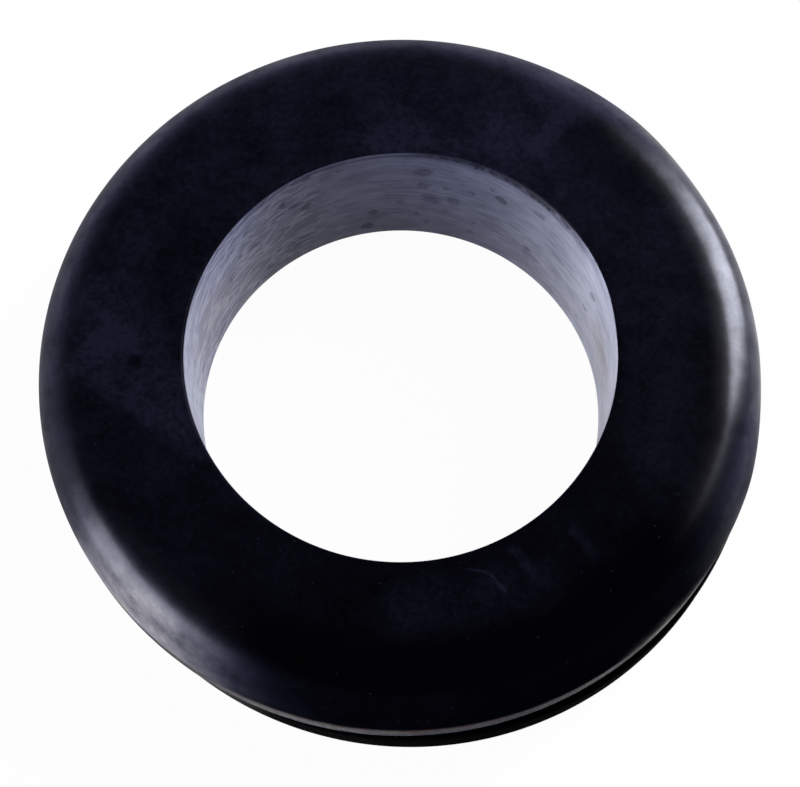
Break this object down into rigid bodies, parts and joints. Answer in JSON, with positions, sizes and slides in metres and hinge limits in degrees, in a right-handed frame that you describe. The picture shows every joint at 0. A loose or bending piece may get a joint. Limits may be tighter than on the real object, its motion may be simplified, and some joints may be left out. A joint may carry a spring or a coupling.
{
  "type": "rubber grommet",
  "caption": "Round black rubber grommet with a plain bore, a groove round its middle for a panel's edge, and a rounded flange on each side.",
  "frame": {"origin": "centre of the lower face, on the bore's axis", "axes": "+Z along the bore's axis, up from the lower face; the ring is the same all the way round, so X and Y are free"},
  "size_m": [0.0381, 0.038, 0.0104],
  "materials": {
    "rubber": "moulded, satin"
  },
  "bodies": {
    "root": {"grommet": "rubber"}
  },
  "joints": []
}
